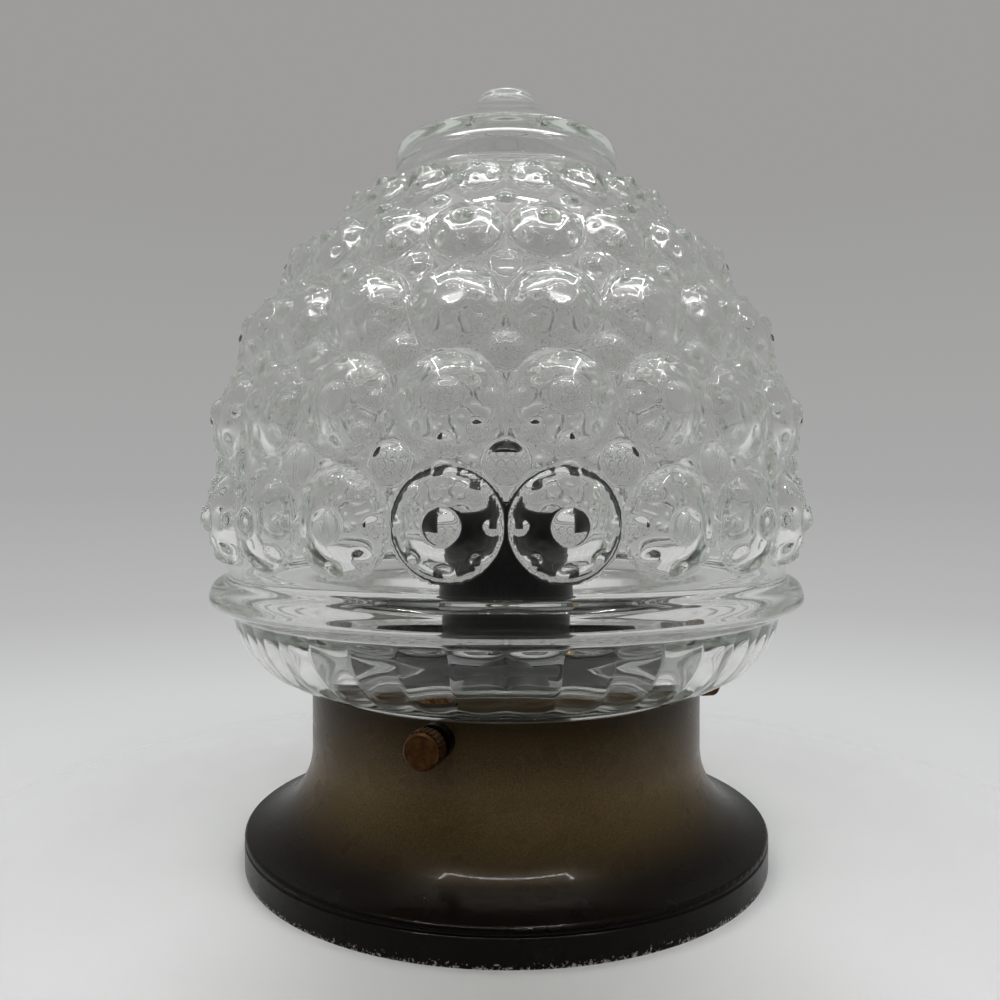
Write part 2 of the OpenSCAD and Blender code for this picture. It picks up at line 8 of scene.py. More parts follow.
import bpy
import numpy as np
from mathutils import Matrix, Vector


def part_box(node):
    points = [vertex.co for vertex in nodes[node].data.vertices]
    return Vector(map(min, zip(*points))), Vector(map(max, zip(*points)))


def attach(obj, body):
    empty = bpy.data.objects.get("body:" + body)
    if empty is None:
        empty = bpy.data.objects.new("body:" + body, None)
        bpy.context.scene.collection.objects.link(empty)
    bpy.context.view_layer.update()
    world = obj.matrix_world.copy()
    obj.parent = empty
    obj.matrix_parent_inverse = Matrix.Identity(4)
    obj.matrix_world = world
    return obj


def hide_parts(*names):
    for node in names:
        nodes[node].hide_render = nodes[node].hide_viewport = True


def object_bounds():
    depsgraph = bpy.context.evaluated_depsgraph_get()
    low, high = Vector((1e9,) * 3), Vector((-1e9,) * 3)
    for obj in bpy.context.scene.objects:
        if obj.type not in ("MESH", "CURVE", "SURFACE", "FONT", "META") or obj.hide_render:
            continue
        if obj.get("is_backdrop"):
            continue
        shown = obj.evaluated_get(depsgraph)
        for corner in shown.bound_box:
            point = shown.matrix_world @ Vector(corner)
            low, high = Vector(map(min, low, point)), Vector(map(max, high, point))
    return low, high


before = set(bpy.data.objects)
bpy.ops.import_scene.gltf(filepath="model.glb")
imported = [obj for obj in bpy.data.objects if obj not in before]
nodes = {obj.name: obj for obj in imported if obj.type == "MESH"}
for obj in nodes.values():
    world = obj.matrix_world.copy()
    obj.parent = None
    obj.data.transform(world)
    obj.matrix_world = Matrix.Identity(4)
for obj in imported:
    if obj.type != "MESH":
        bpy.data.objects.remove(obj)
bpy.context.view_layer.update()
MM = 0.001

# %% [markdown]
# Colours are easiest to read off a photograph as sRGB hex values, but Blender's sockets want linear light.
# One function converts them. A second small function adds a shader node, sets its properties, and fills or
# links its inputs, so that a whole material reads as a short list.

# %% Helpers for colours and shader nodes
def linear(hex_colour):
    """An sRGB hex colour as linear red, green, blue and alpha."""
    parts = [int(hex_colour[i:i + 2], 16) / 255 for i in (1, 3, 5)]
    return [c / 12.92 if c <= 0.04045 else ((c + 0.055) / 1.055) ** 2.4 for c in parts] + [1.0]


def add_node(tree, kind, inputs=None, tones=None, **settings):
    """Adds a node. An input is a value for the socket or another node's output to link to it. Tones are a
    colour ramp's hex colours by their places. The first two move the stops that a new ramp has."""
    node = tree.nodes.new(kind)
    for name, value in settings.items():
        setattr(node, name, value)
    for name, value in (inputs or {}).items():
        if isinstance(value, bpy.types.NodeSocket):
            tree.links.new(value, node.inputs[name])
        else:
            node.inputs[name].default_value = value
    for count, (place, tone) in enumerate((tones or {}).items()):
        stops = node.color_ramp.elements
        stop = stops[count] if count < 2 else stops.new(place)
        stop.position = place
        stop.color = linear(tone)
    return node


def start_finish(name):
    """A new material with an empty node tree, and its output node."""
    finish = bpy.data.materials.new(name)
    finish.use_nodes = True
    finish.node_tree.nodes.clear()
    return finish, finish.node_tree, add_node(finish.node_tree, "ShaderNodeOutputMaterial")


greys = [round(linear(grey)[0], 3) for grey in ("#000000", "#808080", "#ffffff")]
print("black, grey and white in linear light:", greys)

# %% [markdown]
# The light was photographed with a wide phone lens from close by, almost level with the glass. The camera
# stands on the -Y side. Its distance and height were worked out from the ellipses of the rims, so the
# perspective of the model matches that of the photograph.

# %% Camera
PHOTO_SIDE = 1000
FOCAL_PX = 924
CAMERA_DISTANCE = 273.6 * MM
CAMERA_HEIGHT = 105.2 * MM
HORIZON_ROW = 485
AXIS_COLUMN = 506

camera_data = bpy.data.cameras.new("camera")
camera_data.sensor_width = 36
camera_data.lens = camera_data.sensor_width * FOCAL_PX / PHOTO_SIDE
camera_data.clip_start = 5 * MM
camera = bpy.data.objects.new("camera", camera_data)
bpy.context.scene.collection.objects.link(camera)
camera.location = (0, -CAMERA_DISTANCE, CAMERA_HEIGHT)
pitch = math.atan((PHOTO_SIDE / 2 - HORIZON_ROW) / FOCAL_PX)
yaw = math.atan((AXIS_COLUMN - PHOTO_SIDE / 2) / FOCAL_PX)
camera.rotation_euler = (math.pi / 2 - pitch, 0, yaw)
bpy.context.scene.camera = camera
print("lens in mm:", round(camera_data.lens, 2), "pitch in degrees:", round(math.degrees(pitch), 2))

# %% [markdown]
# The light stood on a pale table, before a grey wall, in a room that is dark in front. Glass has no colour
# of its own to show, so what stands around it matters as much as the glass. The table is a round sheet that
# catches the shadow. In front of the light its paper is darker, as a painted shadow. Further out it fades
# away into the backdrop, which the world paints in a later cell. The sizes of the stage are in metres.

# %% Round sheet of the table
TABLE_R, FADE_FROM, FADE_TO, TABLE_SPIN = 3.0, 0.085, 0.22, 96


def add_piece(name, corners, faces):
    """A mesh object from points and faces, linked to the scene."""
    mesh = bpy.data.meshes.new(name)
    mesh.from_pydata(corners, [], faces)
    piece = bpy.data.objects.new(name, mesh)
    bpy.context.scene.collection.objects.link(piece)
    return piece


turns = [2 * math.pi * i / TABLE_SPIN for i in range(TABLE_SPIN)]
edge = [(TABLE_R * math.cos(turn), TABLE_R * math.sin(turn), 0) for turn in turns]
table_sheet = add_piece("table_sheet", edge, [tuple(range(TABLE_SPIN))])
table_sheet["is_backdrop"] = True
print("table sheet:", TABLE_R, "m in radius")

# %% Matt paper of the table, with a painted shadow in front of the light
# Painted shadow: in a soft spot in front of the light the paper goes from #f6f6f7 down to #c3c2c0.
PAINTED_SHADOW_SPOT, PAINTED_SHADOW_R = (0, -0.10, 0), 0.10
paper, tree, out = start_finish("matt_paper")
place = add_node(tree, "ShaderNodeNewGeometry")
far = add_node(tree, "ShaderNodeVectorMath", {0: place.outputs["Position"]}, operation="LENGTH")
gone = add_node(tree, "ShaderNodeMapRange", {
    "Value": far.outputs["Value"], "From Min": FADE_FROM, "From Max": FADE_TO},
    interpolation_type="SMOOTHSTEP")
from_painted_shadow = add_node(tree, "ShaderNodeVectorMath", {
    0: place.outputs["Position"], 1: PAINTED_SHADOW_SPOT}, operation="DISTANCE")
outside_painted_shadow = add_node(tree, "ShaderNodeMapRange", {
    "Value": from_painted_shadow.outputs["Value"], "From Max": PAINTED_SHADOW_R}, interpolation_type="SMOOTHSTEP")
tone = add_node(tree, "ShaderNodeMix", {
    "Factor": outside_painted_shadow.outputs["Result"], "A": linear("#c3c2c0"), "B": linear("#f6f6f7")}, data_type="RGBA")
matt = add_node(tree, "ShaderNodeBsdfPrincipled", {"Base Color": tone.outputs["Result"], "Roughness": 0.8})
clear = add_node(tree, "ShaderNodeBsdfTransparent")
fading = add_node(tree, "ShaderNodeMixShader", {"Fac": gone.outputs["Result"]})
tree.links.new(matt.outputs["BSDF"], fading.inputs[1])
tree.links.new(clear.outputs["BSDF"], fading.inputs[2])
tree.links.new(fading.outputs["Shader"], out.inputs["Surface"])
table_sheet.data.materials.append(paper)
print("paper on:", table_sheet.name)

# %% [markdown]
# A square frame of LED strips hangs over the light. Each bubble mirrors it as a thin bright loop, and the
# lacquer of the canopy as a bright band. A wide, weak lamp above fills the shadows softly.

# %% Frame of LED strips
FRAME_Z, FRAME_X, FRAME_FRONT, FRAME_BACK, STRIP_W = 0.50, 0.20, -0.24, 0.01, 0.006
LED_PITCH, LED_STRENGTH = 0.009, 168.0


def strip_corners(x0, y0, x1, y1):
    """Corners of a flat strip between two points of the frame, facing down."""
    half = STRIP_W / 2
    low_x, high_x = min(x0, x1) - half, max(x0, x1) + half
    low_y, high_y = min(y0, y1) - half, max(y0, y1) + half
    corners = [(low_x, low_y), (low_x, high_y), (high_x, high_y), (high_x, low_y)]
    return [(x, y, FRAME_Z) for x, y in corners]


ends = [(-FRAME_X, FRAME_FRONT), (FRAME_X, FRAME_FRONT), (FRAME_X, FRAME_BACK), (-FRAME_X, FRAME_BACK)]
corners = []
for i in range(4):
    corners += strip_corners(*ends[i], *ends[(i + 1) % 4])
led_frame = add_piece("led_frame", corners, [tuple(range(4 * i, 4 * i + 4)) for i in range(4)])
led_frame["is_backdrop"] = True
led_frame.visible_camera = False
print("LED frame:", len(corners) // 4, "strips")

# %% Glow of the LED strips
glow, tree, out = start_finish("led_strips")
place = add_node(tree, "ShaderNodeNewGeometry")
dots = add_node(tree, "ShaderNodeTexChecker", {
    "Vector": place.outputs["Position"], "Scale": 1 / LED_PITCH,
    "Color1": linear("#ffffff"), "Color2": linear("#595959")})
light = add_node(tree, "ShaderNodeEmission", {"Color": dots.outputs["Color"], "Strength": LED_STRENGTH})
tree.links.new(light.outputs["Emission"], out.inputs["Surface"])
led_frame.data.materials.append(glow)
print(glow.name, "on:", led_frame.name)

# %% Soft lamp
LAMP_PLACE, LAMP_WIDE, LAMP_DEEP, LAMP_WATTS = Vector((0.0, -0.1, 0.75)), 0.8, 0.6, 0.9
lamp_data = bpy.data.lights.new("soft_lamp", "AREA")
lamp_data.shape = "RECTANGLE"
lamp_data.size = LAMP_WIDE
lamp_data.size_y = LAMP_DEEP
lamp_data.energy = LAMP_WATTS
soft_lamp = bpy.data.objects.new("soft_lamp", lamp_data)
bpy.context.scene.collection.objects.link(soft_lamp)
soft_lamp.location = LAMP_PLACE
soft_lamp.rotation_euler = (-LAMP_PLACE).to_track_quat("-Z", "Y").to_euler()
soft_lamp.visible_camera = False
print("soft lamp:", LAMP_WATTS, "W")

# %% [markdown]
# The world paints the backdrop: pale at the level of the table, and greyer up the wall, by the height of
# the direction that a ray takes. The camera sees it everywhere, straight or through the glass. What glass
# and metal mirror is another matter: towards the front that is the dark room, or else their gloss would turn
# milky. Light Path tells the rays apart, and its Glossy Depth counts how often a ray was mirrored.

# %% Dark room with a pale backdrop
WALL_LOW, WALL_HIGH = -0.5, 0.6
WALL_TONES = {
    0.0: "#cfcfcf", 0.73: "#9d9c9b", 0.18: "#d9d9da", 0.27: "#cdcece", 0.34: "#b8b9b8", 0.45: "#a8a9a8"}
ROOM_TONES = {0.18: "#0c0c0c", 1.0: "#1c1c1c", 0.45: "#3a3937", 0.59: "#5c5a57", 0.73: "#3a3937"}
world = bpy.data.worlds.new("dark_room")
bpy.context.scene.world = world
world.use_nodes = True
tree = world.node_tree
tree.nodes.clear()
way = add_node(tree, "ShaderNodeTexCoord")
split = add_node(tree, "ShaderNodeSeparateXYZ", {"Vector": way.outputs["Generated"]})
level = add_node(tree, "ShaderNodeMapRange", {
    "Value": split.outputs["Z"], "From Min": WALL_LOW, "From Max": WALL_HIGH})
wall = add_node(tree, "ShaderNodeValToRGB", {"Fac": level.outputs["Result"]}, WALL_TONES)
dusk = add_node(tree, "ShaderNodeValToRGB", {"Fac": level.outputs["Result"]}, ROOM_TONES)
backdrop = add_node(tree, "ShaderNodeBackground", {"Color": wall.outputs["Color"], "Strength": 1.0})
room = add_node(tree, "ShaderNodeBackground", {"Color": dusk.outputs["Color"], "Strength": 1.0})
print("tones of the backdrop:", len(WALL_TONES))

# %% Which rays meet the backdrop
ROOM_Y, BACKDROP_Y = -0.75, -0.1
ray = add_node(tree, "ShaderNodeLightPath")
back = add_node(tree, "ShaderNodeMapRange", {
    "Value": split.outputs["Y"], "From Min": ROOM_Y, "From Max": BACKDROP_Y})
unmirrored = add_node(tree, "ShaderNodeMath", {
    0: ray.outputs["Glossy Depth"], 1: 0.5}, operation="LESS_THAN")
allowed = add_node(tree, "ShaderNodeMath", {
    0: back.outputs["Result"], 1: unmirrored.outputs["Value"]}, operation="MAXIMUM")
bent = add_node(tree, "ShaderNodeMath", {
    0: ray.outputs["Is Glossy Ray"], 1: ray.outputs["Is Transmission Ray"]}, operation="MAXIMUM")
behind = add_node(tree, "ShaderNodeMath", {
    0: bent.outputs["Value"], 1: allowed.outputs["Value"]}, operation="MULTIPLY")
seen = add_node(tree, "ShaderNodeMath", {
    0: behind.outputs["Value"], 1: ray.outputs["Is Camera Ray"]}, operation="MAXIMUM")
pick = add_node(tree, "ShaderNodeMixShader", {"Fac": seen.outputs["Value"]})
tree.links.new(room.outputs["Background"], pick.inputs[1])
tree.links.new(backdrop.outputs["Background"], pick.inputs[2])
sky = add_node(tree, "ShaderNodeOutputWorld")
tree.links.new(pick.outputs["Shader"], sky.inputs["Surface"])
bpy.context.scene.view_settings.view_transform = "Standard"
print("world:", world.name)

# %% [markdown]
# A ray that crosses this shade meets four skins of glass, and many more where it runs along a bubble's
# edge. With Blender's usual limit of bounces it would be cut short there and leave a black speck, so the
# limits go up.

# %% Bounces for thick glass
GLASS_BOUNCES, MIRROR_BOUNCES = 40, 24
paths = bpy.context.scene.cycles
paths.max_bounces = GLASS_BOUNCES
paths.transmission_bounces = GLASS_BOUNCES
paths.glossy_bounces = MIRROR_BOUNCES
print("bounces:", paths.max_bounces)

# %% [markdown]
# The shade is one piece of soda-lime glass, blown into a mould. It could be carved with booleans, but a
# surface of revolution that is pushed out by heights is smoother: every bubble, bead and flute is a height
# above a plain profile. The profile is drawn first, as a chain of arcs and lines in millimetres, with R to
# the right and Z up.

# %% Sizes of the glass, in millimetres
CURVE_R, CURVE_X, CURVE_Z = 110.6, -30.0, 100.0
GLASS = 3.6
BOWL_X, BOWL_Z, BOWL_R = 55.3, 73.3, 22.8
EDGE_X, EDGE_Z, EDGE_R = 83.2, 74.2, 1.0
WALL_LOW_Z, FLUTE_TOP_Z, FLUTE_DEPTH = 79.8, 71.5, 0.45
CAP_R, CAP_Z, CAP_EDGE = 32.3, 202.6, 1.4
BUTTON_R, BUTTON_Z, TOP_Z, BUTTON_BEVEL = 8.2, 216.5, 219.5, 1.4
NECK_R, NECK_END_Z, LIP_X, LIP_R = 50.0, 34.4, 49.6, 2.6
FOOT_R, FOOT_Z = 55.9, 48.85
RING_FLANK = [[83.9, 76.2], [83.3, 78.0], [82.4, 79.2], [81.0, 79.9]]
RING_INSIDE = [[76.4, 78.8], [77.6, 77.0], [78.6, 75.2], [78.4, 73.6], [77.2, 71.8], [75.6, 70.2]]


def arc(x, z, r, start, end):
    """Points along an arc, start and end in degrees."""
    turns = np.radians(np.linspace(start, end, max(3, int(abs(end - start) * r / 20))))
    return np.column_stack([x + r * np.cos(turns), z + r * np.sin(turns)])


def even_steps(points, step):
    """The same path with points a step apart."""
    points = np.asarray(points, float)
    along = np.concatenate([[0], np.cumsum(np.linalg.norm(np.diff(points, axis=0), axis=1))])
    kept = np.concatenate([[True], np.diff(along) > 1e-6])
    wanted = np.linspace(0, along[-1], int(along[-1] / step) + 1)
    return np.column_stack([np.interp(wanted, along[kept], points[kept, k]) for k in (0, 1)])


def softened(points, rounds):
    """The path with its corners rounded a little, as glass leaves the mould. Its ends stay."""
    points = points.copy()
    for _ in range(rounds):
        points[1:-1] = points[1:-1] / 2 + (points[:-2] + points[2:]) / 4
    return points


# %% Outer and inner profile
NECK_MID_Z, CAP_INSIDE_Z = 42.0, 190.0
OUTER_STEP, INNER_STEP, OUTER_ROUNDS, INNER_ROUNDS = 0.65, 1.2, 2, 6
curve_low = math.degrees(math.asin((WALL_LOW_Z + 1 - CURVE_Z) / CURVE_R))
curve_high = math.degrees(math.acos((CAP_R - CURVE_X) / CURVE_R))
outer = even_steps(np.vstack([
    [[NECK_R - 2, NECK_END_Z]], arc(LIP_X, NECK_END_Z + LIP_R, LIP_R, -90, 81),
    [[NECK_R, NECK_MID_Z], [NECK_R, FOOT_Z - 2]], [[NECK_R + 2, FOOT_Z], [FOOT_R, FOOT_Z]],
    [[FOOT_R, BOWL_Z - BOWL_R]], arc(BOWL_X, BOWL_Z, BOWL_R, -87, -6.8),
    arc(EDGE_X, EDGE_Z, EDGE_R, -60, 10), RING_FLANK,
    arc(CURVE_X, CURVE_Z, CURVE_R, curve_low, curve_high),
    [[CAP_R, CAP_Z - CAP_EDGE]], arc(CAP_R - CAP_EDGE, CAP_Z - CAP_EDGE, CAP_EDGE, 0, 80),
    [[BUTTON_R, BUTTON_Z], [BUTTON_R, TOP_Z - BUTTON_BEVEL]],
    [[BUTTON_R - BUTTON_BEVEL, TOP_Z], [0.4, TOP_Z]],
]), OUTER_STEP)
inner = even_steps(np.vstack([
    [[0.4, BUTTON_Z - GLASS], [BUTTON_R * 0.6, BUTTON_Z - GLASS], [CAP_R - GLASS, CAP_Z - GLASS]],
    [[CAP_R - GLASS, CAP_INSIDE_Z]], arc(CURVE_X, CURVE_Z, CURVE_R - GLASS, 56.5, -11),
    RING_INSIDE, arc(BOWL_X, BOWL_Z, BOWL_R - GLASS, -14, -88),
    [[NECK_R - GLASS + 2, BOWL_Z - BOWL_R + GLASS], [NECK_R - GLASS, BOWL_Z - BOWL_R + GLASS - 3]],
    [[NECK_R - GLASS, NECK_END_Z + 1.5], [NECK_R - GLASS + 1, NECK_END_Z]],
]), INNER_STEP)
outer = softened(outer, OUTER_ROUNDS)
inner = softened(inner, INNER_ROUNDS)
print("profile points:", len(outer), "outside and", len(inner), "inside")

# %% [markdown]
# Each bubble is a blown dome with steep sides, a nipple in its middle and a ring of small prunts near its
# edge. Beads fill the gaps between the rows, and flutes run down the bowl. All of them are written as
# heights in millimetres over the plain surface, found from how far a point lies from the nearest centre.
# Most sizes are shares of the bubble's radius, because the bubbles get smaller towards the cap.

# %% Domes
TOP_FLATNESS = 2.4


def dome(distance, radius, rise):
    """Height of a round cap over a distance from its centre."""
    sphere = (radius ** 2 + rise ** 2) / (2 * rise)
    height = np.sqrt(np.maximum(sphere ** 2 - distance ** 2, 0)) - sphere + rise
    return np.where(distance < radius, height, 0)


def blown_dome(distance, radius, rise, side):
    """Height of a bubble with a flatter top than a cap. A smaller side makes its sides steeper."""
    share = np.clip(distance / radius, 0, 1)
    return rise * (1 - share ** TOP_FLATNESS) ** side


print("height of a round cap at its middle and edge:", dome(np.array([0.0, 1.0]), 1.0, 0.5))

# %% Heights of bubbles, beads and flutes
COLUMNS, FLUTES, PRUNTS = 20, 40, 8
ROWS = np.radians([-1.7, 12.1, 24.0, 35.8, 48.2])
BUBBLE_FILL, BUBBLE_RISE, BUBBLE_SIDE = 0.955, 0.40, 0.62
INSIDE_FILL, INSIDE_RISE, INSIDE_SIDE = 0.88, 0.9, 1.1
NIPPLE_SHARE, NIPPLE_RISE = 0.30, 0.5
PRUNT_RING, PRUNT_SHARE, PRUNT_RISE = 0.83, 0.155, 0.085
BEAD_R, BEAD_RISE = [4.6, 4.4, 3.4, 2.7], 0.45


def bubble_heights(turn, tilt, inside):
    """Heights at points, given by their turn round the axis and tilt along the long curve, in radians."""
    total = np.zeros_like(turn)
    pitch_turn = 2 * math.pi / COLUMNS
    from_bubble = (turn + math.pi / 2) % pitch_turn - pitch_turn / 2
    from_gap = (turn + math.pi / 2 + pitch_turn / 2) % pitch_turn - pitch_turn / 2
    for tilt_row in ROWS:
        row_r = CURVE_X + CURVE_R * math.cos(tilt_row)
        radius = BUBBLE_FILL * row_r * math.sin(math.pi / COLUMNS)
        rise = BUBBLE_RISE * radius
        local_r = CURVE_X + CURVE_R * np.cos(tilt)
        across, along = local_r * from_bubble, CURVE_R * (tilt - tilt_row)
        distance = np.hypot(across, along)
        if inside:
            total += blown_dome(distance, INSIDE_FILL * radius, INSIDE_RISE * rise, INSIDE_SIDE)
            continue
        total += blown_dome(distance, radius, rise, BUBBLE_SIDE)
        total += dome(distance, NIPPLE_SHARE * radius, NIPPLE_RISE * NIPPLE_SHARE * radius)
        around = np.arctan2(along, across)
        step = 2 * math.pi / PRUNTS
        off = (around + step / 2) % step - step / 2
        ring = PRUNT_RING * radius
        total += dome(np.hypot(distance - ring, ring * off), PRUNT_SHARE * radius, PRUNT_RISE * radius)
    if not inside:
        for gap, radius in enumerate(BEAD_R):
            tilt_gap = (ROWS[gap] + ROWS[gap + 1]) / 2
            local_r = CURVE_X + CURVE_R * np.cos(tilt)
            distance = np.hypot(local_r * from_gap, CURVE_R * (tilt - tilt_gap))
            total = np.maximum(total, dome(distance, radius, BEAD_RISE * radius))
    return total


def flute_heights(turn, depth):
    """Heights of the convex flutes round the bowl: 0 on a crest and -depth in a groove."""
    share = (turn * FLUTES / (2 * math.pi)) % 1 - 0.5
    return -depth * (1 - np.cos(math.pi * share))


print("bubbles:", COLUMNS * len(ROWS), "beads:", COLUMNS * len(BEAD_R), "flutes:", FLUTES)

# %% [markdown]
# Now the profile is spun round. A point on the long curve knows its tilt there, so the heights apply only
# where the bubbles are, and the flutes fade in and out along the bowl. The inner skin follows the bubbles
# more gently, because glass that is blown outwards is smoother inside than the mould that shapes it.

# %% Rings of the glass
SPIN = 800
CURVE_SLACK, BUBBLE_TOP_Z = 0.8, 191.5
FLUTE_FOOT_R, FLUTE_LOW_Z, FLUTE_FADE = 56.5, 51.2, 4.0


def normals_of(points):
    """Unit normals to the right of a path."""
    ahead = np.gradient(points, axis=0)
    ahead /= np.linalg.norm(ahead, axis=1)[:, None]
    return np.column_stack([ahead[:, 1], -ahead[:, 0]])


def fade(values, low, high, soft):
    """1 between low and high, falling smoothly to 0 outside."""
    rise = np.clip((values - low) / soft, 0, 1) * np.clip((high - values) / soft, 0, 1)
    return rise * rise * (3 - 2 * rise)


def spun_rings(points, inside):
    """Rings of points, one per profile point, with the heights added along the profile's normals."""
    turn = np.linspace(0, 2 * math.pi, SPIN, endpoint=False)[None, :] + 0 * points[:, :1]
    normal = normals_of(points)
    tilt = np.arctan2(points[:, 1] - CURVE_Z, points[:, 0] - CURVE_X)[:, None] + 0 * turn
    reach = np.hypot(points[:, 0] - CURVE_X, points[:, 1] - CURVE_Z)
    wall = CURVE_R - GLASS if inside else CURVE_R
    between = (points[:, 1] > WALL_LOW_Z) & (points[:, 1] < BUBBLE_TOP_Z)
    on_curve = (np.abs(reach - wall) < CURVE_SLACK) & between
    height = bubble_heights(turn, tilt, inside) * on_curve[:, None] * (-1 if inside else 1)
    if not inside:
        on_bowl = (points[:, 0] > FLUTE_FOOT_R) & (points[:, 1] < FLUTE_TOP_Z)
        depth = FLUTE_DEPTH * fade(points[:, 1], FLUTE_LOW_Z, FLUTE_TOP_Z, FLUTE_FADE) * on_bowl
        height = height + flute_heights(turn, 1.0) * depth[:, None]
    r = points[:, :1] + normal[:, :1] * height
    z = points[:, 1:] + normal[:, 1:] * height
    return np.stack([r * np.cos(turn), r * np.sin(turn), z], axis=-1) * MM


rings = np.concatenate([spun_rings(inner, inside=True), spun_rings(outer, inside=False)])
print("rings of the glass:", len(rings), "with", SPIN, "points each")


# %% Spin the rings into a mesh
def mesh_of_rings(name, rings, ends=None):
    """A mesh from rings of points. Each ring joins the next. Two end points close it, or else the last ring
    joins the first."""
    count, spin = rings.shape[:2]
    joints = count - 1 if ends else count
    ring, step = np.meshgrid(np.arange(joints), np.arange(spin), indexing="ij")
    ahead, beside = (ring + 1) % count, (step + 1) % spin
    corners = [ring * spin + step, ring * spin + beside, ahead * spin + beside, ahead * spin + step]
    points = rings.reshape(-1, 3)
    faces = np.stack(corners, axis=-1).reshape(-1, 4).tolist()
    if ends:
        points = np.concatenate([points, ends])
        for i in range(spin):
            faces.append((count * spin, (i + 1) % spin, i))
            faces.append((count * spin + 1, (count - 1) * spin + i, (count - 1) * spin + (i + 1) % spin))
    piece = add_piece(name, points.tolist(), faces)
    piece.data.shade_smooth()
    return piece


roof = (0, 0, (BUTTON_Z - GLASS) * MM)
tip = (0, 0, TOP_Z * MM)
shade_glass = mesh_of_rings("shade_glass", rings, [roof, tip])
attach(shade_glass, "shade")
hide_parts("glass_shade")
print("shade_glass:", len(shade_glass.data.vertices), "points")

# %% [markdown]
# Clear soda-lime glass is smooth, with an index of refraction near 1.5. It looks a little green where the
# eye looks through a lot of it, so its body absorbs a trace of red and blue. Lamps reach the holder and the
# table through it: for shadow rays only, the surface lets light straight through.

# %% Clear soda-lime glass
clear_glass, tree, out = start_finish("clear_soda_lime_glass")
glassy = add_node(tree, "ShaderNodeBsdfPrincipled", {
    "Base Color": linear("#fafaf9"), "Roughness": 0.0, "IOR": 1.5, "Transmission Weight": 1.0})
through = add_node(tree, "ShaderNodeBsdfTransparent", {"Color": linear("#d3d4d2")})
ray = add_node(tree, "ShaderNodeLightPath")
pick = add_node(tree, "ShaderNodeMixShader", {"Fac": ray.outputs["Is Shadow Ray"]})
tree.links.new(glassy.outputs["BSDF"], pick.inputs[1])
tree.links.new(through.outputs["BSDF"], pick.inputs[2])
tree.links.new(pick.outputs["Shader"], out.inputs["Surface"])
body = add_node(tree, "ShaderNodeVolumeAbsorption", {"Color": linear("#cddcc8"), "Density": 6.0})
tree.links.new(body.outputs["Volume"], out.inputs["Volume"])
shade_glass.data.materials.append(clear_glass)
print(clear_glass.name, "on:", shade_glass.name)

# %% [markdown]
# The canopy was spun from sheet metal and sprayed with a bronze lacquer that holds metal flakes, under a
# thin clear coat. The flakes are drawn coarser than they are, or else they wouldn't show. The golden spray
# thins out to a black ground coat at the foot, and inside, the canopy has only the dark coat. Towards the
# neck the gold is darkened as a painted shadow of the glass bowl above it. The edge that stood on shelves
# for years has lost small chips of paint.

# %% Flakes of the canopy's lacquer
FLAKE_MM, CLOUD_MM = 0.35, 9.0
lacquer, tree, out = start_finish("bronze_flake_lacquer")
place = add_node(tree, "ShaderNodeTexCoord")
flakes = add_node(tree, "ShaderNodeTexNoise", {
    "Vector": place.outputs["Object"], "Scale": 1 / (FLAKE_MM * MM), "Detail": 2.0})
clouds = add_node(tree, "ShaderNodeTexNoise", {
    "Vector": place.outputs["Object"], "Scale": 1 / (CLOUD_MM * MM), "Detail": 3.0})
speckle = add_node(tree, "ShaderNodeValToRGB", {"Fac": flakes.outputs["Fac"]}, {
    0.35: "#675539", 0.75: "#8b7550"})
print("lacquer flakes:", FLAKE_MM, "mm")

# %% Where the golden spray reached, and the painted shadow of the bowl
FOOT_BLACK_Z, FOOT_GOLD_Z = 10.0 * MM, 30.0 * MM
BOWL_SHADOW_FROM_Z, BOWL_SHADOW_TO_Z, GOLD_LEFT_IN_BOWL_SHADOW = 28.0 * MM, 47.0 * MM, 0.15
height = add_node(tree, "ShaderNodeSeparateXYZ", {"Vector": place.outputs["Object"]})
from_foot = add_node(tree, "ShaderNodeMapRange", {
    "Value": height.outputs["Z"], "From Min": FOOT_BLACK_Z, "From Max": FOOT_GOLD_Z},
    interpolation_type="SMOOTHSTEP")
# Painted shadow of the glass bowl: from 28 mm up to the neck at 47 mm the gold darkens to 0.15 of its colour.
painted_bowl_shadow = add_node(tree, "ShaderNodeMapRange", {
    "Value": height.outputs["Z"], "From Min": BOWL_SHADOW_FROM_Z, "From Max": BOWL_SHADOW_TO_Z,
    "To Min": 1.0, "To Max": GOLD_LEFT_IN_BOWL_SHADOW})
gold_band_with_painted_shadow = add_node(tree, "ShaderNodeMath", {
    0: from_foot.outputs["Result"], 1: painted_bowl_shadow.outputs["Result"]}, operation="MULTIPLY")
facing = add_node(tree, "ShaderNodeVectorMath", {
    0: place.outputs["Object"], 1: place.outputs["Normal"]}, operation="DOT_PRODUCT")
outside = add_node(tree, "ShaderNodeMath", {0: facing.outputs["Value"], 1: 0.0}, operation="GREATER_THAN")
gold_with_painted_shadow = add_node(tree, "ShaderNodeMath", {
    0: gold_band_with_painted_shadow.outputs["Value"], 1: outside.outputs["Value"]}, operation="MULTIPLY")
lacquer_with_painted_shadow = add_node(tree, "ShaderNodeMix", {
    "Factor": gold_with_painted_shadow.outputs["Value"], "A": linear("#0e0906"), "B": speckle.outputs["Color"]},
    data_type="RGBA")
print("golden from", FOOT_BLACK_Z / MM, "to", BOWL_SHADOW_TO_Z / MM, "mm up the canopy")

